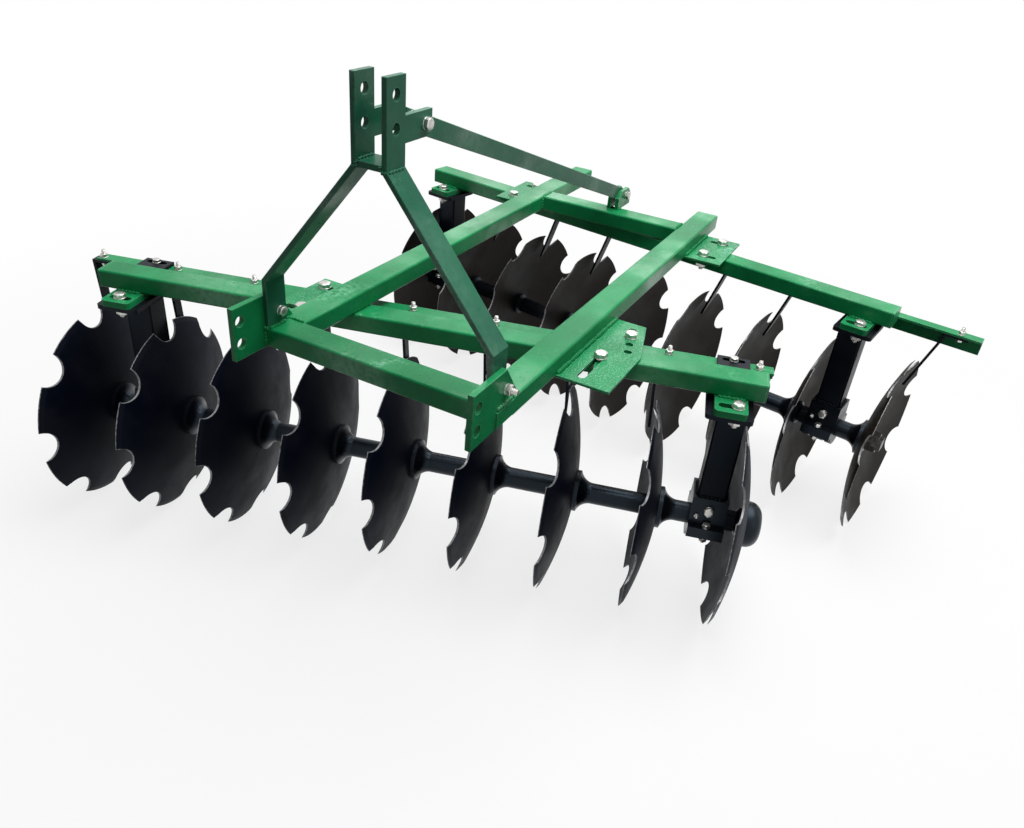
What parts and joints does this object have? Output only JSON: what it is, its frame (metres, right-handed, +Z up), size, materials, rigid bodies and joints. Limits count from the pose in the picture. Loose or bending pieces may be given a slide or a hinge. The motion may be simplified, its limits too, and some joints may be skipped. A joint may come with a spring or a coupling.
{
  "type": "disc harrow",
  "caption": "Three-point mounted offset disc harrow: green tube frame with headstock and brace, and two angled gangs of notched cupped discs that turn freely, with scrapers.",
  "frame": {"origin": "on the floor under the middle of the overall box", "axes": "+X is the way of travel, +Y the machine's left, +Z up"},
  "size_m": [1.6042, 1.8752, 1.105],
  "materials": {
    "green_paint": "glossy enamel with light scuffs",
    "black_paint": "glossy black enamel",
    "bare_steel": "plain steel, lightly oiled"
  },
  "bodies": {
    "frame": {"left_beam": "green_paint", "right_beam": "green_paint", "front_cross_tube": "green_paint", "rear_cross_tube": "green_paint", "tube_caps": "green_paint", "left_hitch_plate": "green_paint", "right_hitch_plate": "green_paint", "left_mast_bar": "green_paint", "right_mast_bar": "green_paint", "mast_spacer": "green_paint", "brace_bar": "green_paint", "brace_lugs": "green_paint", "front_left_bracket": "green_paint", "front_right_bracket": "green_paint", "rear_left_bracket": "green_paint", "rear_right_bracket": "green_paint", "front_gang_beam": "green_paint", "front_bracket_lugs": "green_paint", "front_standard_seats": "green_paint", "front_scraper_bar": "green_paint", "rear_gang_beam": "green_paint", "rear_bracket_lugs": "green_paint", "rear_standard_seats": "green_paint", "rear_scraper_bar": "green_paint", "front_bearing_blocks": "black_paint", "front_bearing_caps": "black_paint", "front_bar_holders": "black_paint", "front_scrapers": "black_paint", "front_left_standard": "black_paint", "front_right_standard": "black_paint", "rear_bearing_blocks": "black_paint", "rear_bearing_caps": "black_paint", "rear_bar_holders": "black_paint", "rear_scrapers": "black_paint", "rear_left_standard": "black_paint", "rear_right_standard": "black_paint", "brace_pins": "bare_steel"},
    "front_gang": {"front_discs": "black_paint", "front_spools": "black_paint", "front_end_bell": "black_paint", "front_gang_shaft": "bare_steel"},
    "rear_gang": {"rear_discs": "black_paint", "rear_spools": "black_paint", "rear_end_bell": "black_paint", "rear_gang_shaft": "bare_steel"}
  },
  "joints": [
    {"name": "front_gang_spin", "type": "hinge", "parent": "frame", "child": "front_gang", "pos_m": [0.36712, -0.12314, 0.22692], "axis": [0.2773, -0.9608, 0], "continuous": true},
    {"name": "rear_gang_spin", "type": "hinge", "parent": "frame", "child": "rear_gang", "pos_m": [-0.4715, 0.03465, 0.23], "axis": [0.1478, 0.989, 0], "continuous": true}
  ]
}
